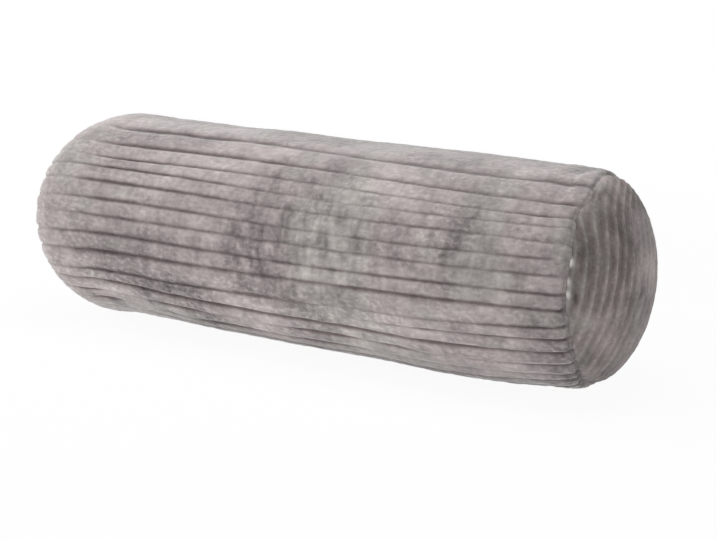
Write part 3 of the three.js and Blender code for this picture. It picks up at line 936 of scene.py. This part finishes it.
# %% [markdown]
# ## The end panels
#
# Each is a flat disc of the same cord, cut with its ribs straight and pushed out to a dome
# by the filling. It is laid out in rings, and every point is traced back to where it was in
# the flat cut, by its distance from the middle along the dome. That is what bends straight
# ribs into the curves a stuffed disc shows.

# %% Where an end panel's ridges run
# The panel shows narrow pale ridges with broad dull bands between them: low ridges of
# relief, with a painted highlight along each crest and painted shade in the bands.
PANEL_TURN = np.radians(20)      # the ridges' tops lean this far towards the back
RIDGE_PITCH = 8.6 * MM
RIDGE_START = 62.8 * MM          # one ridge's place across the flat cut
# How far a ridge strays sideways, up and down the flat cut: it bends in at the top.
STRAY_HEIGHTS = np.array([-75, -50, -22, -3, 17, 38, 45, 52, 59, 75]) * MM
STRAY = np.array([-2, -2, -3, -1.2, 0, 1, 0.5, -4, -14, -38]) * MM
STRAY_SOFTENING = range(-9, 10, 3)     # mm up and down over which its corners are rounded
FIRST_RIDGE = 20                       # keeps the ridges' numbers above 0


def ridge_place(cut, angle):
    """How many ridges across a point of the flat cut lies; whole numbers are in the bands."""
    front, up = cut * np.sin(angle), cut * np.cos(angle)
    across = front * np.cos(PANEL_TURN) + up * np.sin(PANEL_TURN)
    along = up * np.cos(PANEL_TURN) - front * np.sin(PANEL_TURN)
    stray = np.mean([np.interp(along + step * MM, STRAY_HEIGHTS, STRAY)
                     for step in STRAY_SOFTENING], axis=0)
    return (across - stray - RIDGE_START) / RIDGE_PITCH + 0.5 + FIRST_RIDGE


# %% How an end panel's pile is brushed, and where light is painted on it
RIDGE_END = 0.6 * MM             # length over which a ridge runs out at the edge
# Soft spots: mm forwards and up on the flat cut, reach both ways, strength. Those along the
# top of the rim are painted light, laid over the shade of the seam's groove there.
PANEL_BRUSHED_AND_PAINTED_LIGHT = [
    (6, 73.5, 16, 3, 1.9), (72, 8, 2, 22, 0.4), (48, 34, 22, 14, -0.5), (67, 12, 3, 16, -0.5),
    (3, 1, 8, 8, -0.9), (-12, 66, 20, 8, 1.0), (-15, 8, 14, 14, 1.2), (30, -35, 34, 14, 0.4),
    (50, -42, 6, 8, -0.6), (20, 20, 12, 14, -0.4), (-5, 42, 25, 12, -0.9), (-10, -15, 12, 8, -0.6),
    (22, 70, 14, 4, 0.8), (61, 34, 3, 5, -0.8), (53, 32, 3, 5, -0.8), (67, 5, 3, 5, -1.0),
    (38, 49, 4, 6, -0.6), (30, 45, 4, 7, -0.7), (22, 40, 4, 6, -0.6), (17, 62, 4, 6, -1.0),
    (19, -3, 5, 5, -0.8), (12, 28, 6, 8, -0.5), (45, -2, 8, 10, 0.4), (24, 4, 5, 5, 0.5),
    (58, -12, 6, 8, 0.4), (64, -30, 3, 4, -0.6), (56, -45, 3, 5, -0.6),
]
# Pale tips of pile that stand out of the right seam.
PANEL_TUFTS = [(68.8, 27.5, 3, 4, 1.1), (71.8, 14.5, 2.8, 4, 0.75), (73, 6, 2.6, 3.2, 0.8)]


def panel_numbers(end, cut, angle, outer):
    """What the panel's outer face carries, with the value of each all over its lining."""
    ridge = ridge_place(cut, angle)
    front, up = cut * np.sin(angle) / MM, cut * np.cos(angle) / MM
    nap_and_painted_light = spots(PANEL_BRUSHED_AND_PAINTED_LIGHT, front, up) + 0.3 * slow_noise(outer, 25 * MM, 11)
    # The right panel's middle is brushed smooth, and its ridges fade out there.
    ridged = np.maximum.reduce([smooth_step(front, 0, 22), smooth_step(up, 38, 52),
                                smooth_step(-front, 40, 56)])
    if end["side"] < 0:
        ridged = np.full_like(front, 0.75)
    lower = smooth_step(20 * slow_noise(outer, 16 * MM, 23) - up, -20, 30)
    room = ((0.9 - 0.35 * lower) * (0.35 + 0.65 * ridged)
            * (1 - 0.85 * smooth_step(up, 64, 73)) * (1 + 0.8 * slow_noise(outer, 14 * MM, 21)))
    # The second part greys the crescent low on the front by the seam: a painted tint of shade.
    cool = (0.1 * smooth_step(up, -10, 30) * smooth_step(front, 4, 20)
            + 0.15 * smooth_step(front, 50, 58) * smooth_step(up, -40, -20))
    return {
        "rib_across": (ridge % 1.0, 0.5), "rib_number": (np.floor(ridge), 0),
        "rib_end": (np.clip((CUT_RADIUS - cut) / RIDGE_END, 0, 1), 1),
        "furrow_room": (np.clip(room, 0, 1), 0), "broad": (0, 0), "nap_and_painted_light": (nap_and_painted_light, 0),
        "ruffled": (0.4, 0), "fluffy": (0.3, 0), "cool": (cool, 0),
        "tuft": (spots(PANEL_TUFTS, front, up) * (end["side"] > 0), 0),
    }


# %% Lay out and grow an end panel
PANEL_RINGS, LINING_RINGS, PANEL_COLUMNS = 112, 14, 400
ARC_POINTS = 2000                # for measuring along a dome's arc
EDGE_ROLL = 1.6 * MM             # width of the edge that turns down into the seam
EDGE_SINK = 0.7 * MM             # how far it turns down
LINING_INSET = 2.4 * MM          # the panel's inner face
LINING_FIRST = 0.15              # its first ring, in radians from the pole
LINING_ROLL = 0.03               # width of its edge, as a share of the rim's radius


def arc_shares(end, count):
    """Rim shares of rings that are evenly spaced along the dome's arc."""
    turn = np.linspace(0, np.pi / 2, ARC_POINTS)
    reach, bulge = dome_profile(end, np.sin(turn))
    run = np.concatenate([[0], np.cumsum(np.hypot(np.diff(reach), np.diff(bulge)))])
    even = np.linspace(0, 1, count + 1)[1:]
    return np.interp(even * run[-1], run, np.sin(turn)), even


def end_panel(name):
    """One end's panel, in its place: its outer face, its edge and its lining."""
    end = ENDS[name]
    shares, from_pole = arc_shares(end, PANEL_RINGS)
    around = np.linspace(0, 2 * np.pi, PANEL_COLUMNS, endpoint=False)
    share, angle = np.meshgrid(shares, around, indexing="ij")
    cut = np.broadcast_to(from_pole[:, None] * CUT_RADIUS, share.shape)
    rim = np.clip(1 - (CUT_RADIUS - cut) / EDGE_ROLL, 0, 1) ** 2
    outer = dome_point(end, share, angle, 0.0, RIM_GAP, rim * EDGE_SINK)
    inner_shares = np.sin(np.linspace(np.pi / 2, LINING_FIRST, LINING_RINGS))
    inner_share, inner_angle = np.meshgrid(inner_shares, around, indexing="ij")
    inner_rim = np.clip((inner_share - (1 - LINING_ROLL)) / LINING_ROLL, 0, 1)
    inner = dome_point(end, inner_share, inner_angle, LINING_INSET, RIM_GAP, inner_rim * EDGE_SINK)
    poles = [dome_point(end, 0.0, 0.0, inset, RIM_GAP) for inset in (0.0, LINING_INSET)]
    points = np.vstack([outer.reshape(-1, 3), inner.reshape(-1, 3), poles])
    faces, uv = closed_rows(PANEL_RINGS + LINING_RINGS, PANEL_COLUMNS, flip=end["side"] > 0)

    lining = np.ones(inner_share.size + len(poles))
    numbers = {label: np.append(np.broadcast_to(values, share.shape), on_lining * lining)
               for label, (values, on_lining) in panel_numbers(end, cut, angle, outer).items()}
    panel = new_object(f"end_panel_{name}_plush", points, faces, numbers, uv)
    grow(panel, RIB_TREE, furrow_depth=1.5 * MM, crown_flatness=0.5, tuft_height=0.5 * MM,
         tuft_length=5 * MM, tuft_width=6 * MM, seed=9.0 + end["side"], plush=end_plush_painted_darker)
    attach(panel, "root")
    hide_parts(f"end_panel_{name}")


for name in ENDS:
    end_panel(name)

# %% [markdown]
# ## Floor, light and background
#
# The pillow lies on a plain white floor in soft light from the upper left, so its top is
# palest and its right end is in shade. The floor and the world are plain white to the
# camera alone; to the pillow the floor is white card, which keeps its shadow, and it also
# glows a little, lighting the pillow's underside though it is no lamp.

# %% The floor
FLOOR_SIZE = 6.0
FLOOR_DROP = 0.2 * MM            # room for the tips of the pile
FLOOR_GLOW = 0.14                # share of the floor that glows, as seen by everything,
SEEN_GLOW = 0.8                  # what the camera adds to it near the pillow,
FAR_GLOW = 0.06                  # and what it adds further out
GLOW_GROWS = (0.3, 0.9)          # metres from the middle between near and further out

floor_points = np.array([[-1, -1, 0], [1, -1, 0], [1, 1, 0], [-1, 1, 0]]) * FLOOR_SIZE / 2
floor_points[:, 2] = -FLOOR_DROP
floor = new_object("floor", floor_points, [[0, 1, 2, 3]])
floor_paint = bpy.data.materials.new("white floor")
bench = Bench.cleared(floor_paint)
seen = bench.node("ShaderNodeLightPath", output="Is Camera Ray")
from_middle = bench.node("ShaderNodeVectorMath", {"operation": "LENGTH"},
                         {0: bench.node("ShaderNodeTexCoord", output="Object")}, "Value")
card = bench.node("ShaderNodeBsdfDiffuse", None, {"Color": (0.9, 0.9, 0.9, 1)})
glow = bench.node("ShaderNodeEmission", None, {"Color": (1, 1, 1, 1), "Strength": 1.0})
glowing = seen * (SEEN_GLOW + from_middle.above(*GLOW_GROWS) * FAR_GLOW) + FLOOR_GLOW
mixed = bench.node("ShaderNodeMixShader", None, {0: glowing, 1: card, 2: glow})
bench.node("ShaderNodeOutputMaterial", None, {"Surface": mixed})
floor.data.materials.append(floor_paint)
print("floor", FLOOR_SIZE, "m across")

# %% The world
ROOM_LIGHT = 0.05                # its light on everything but the camera

world = bpy.data.worlds.new("white room")
bpy.context.scene.world = world
bench = Bench.cleared(world)
seen = bench.node("ShaderNodeLightPath", output="Is Camera Ray")
backdrop = bench.node("ShaderNodeBackground", None, {
    "Color": (1, 1, 1, 1), "Strength": ROOM_LIGHT + (1 - ROOM_LIGHT) * seen})
bench.node("ShaderNodeOutputWorld", None, {"Surface": backdrop})

# %% Lamps
LIT = Vector((0, 0, 0.07))       # the place that all of them face
LAMPS = [                        # name, place, width, height, watts
    ("top", (0, 0.1, 1.7), 1.6, 1.2, 18), ("key", (-1.1, -0.7, 1.5), 1.2, 1.2, 9),
    ("left", (-1.8, -0.3, 0.5), 0.8, 0.8, 19), ("low", (-0.1, -1.5, 0.16), 1.8, 0.26, 10),
    ("right", (1.7, 0.3, 0.6), 1.0, 0.8, 7),
]
for name, place, width, height, watts in LAMPS:
    lamp = bpy.data.lights.new(name, "AREA")
    lamp.shape, lamp.size, lamp.size_y, lamp.energy = "RECTANGLE", width, height, watts
    softbox = bpy.data.objects.new(name, lamp)
    bpy.context.scene.collection.objects.link(softbox)
    softbox.location = place
    softbox.rotation_euler = (LIT - Vector(place)).to_track_quat("-Z", "Y").to_euler()
print(len(LAMPS), "lamps")

# %% Camera
LENS, SENSOR = 85, 36            # mm
AZIMUTH, ELEVATION, DISTANCE = np.radians(32.6), np.radians(13.686), 1.18877
TARGET = Vector((0.0134, -0.0001, 0.0550))
ROLL = np.radians(0.456)
back = Vector((np.sin(AZIMUTH) * np.cos(ELEVATION), -np.cos(AZIMUTH) * np.cos(ELEVATION),
               np.sin(ELEVATION)))
camera = bpy.data.objects.new("camera", bpy.data.cameras.new("camera"))
bpy.context.scene.collection.objects.link(camera)
camera.data.lens, camera.data.sensor_width = LENS, SENSOR
camera.data.sensor_fit = "HORIZONTAL"
camera.location = TARGET + back * DISTANCE
look = back.to_track_quat("Z", "Y")
look.rotate(Quaternion(back, ROLL))
camera.rotation_euler = look.to_euler()
bpy.context.scene.camera = camera
bpy.context.scene.view_settings.view_transform = "Standard"
print("camera at, m:", [round(v, 2) for v in camera.location])
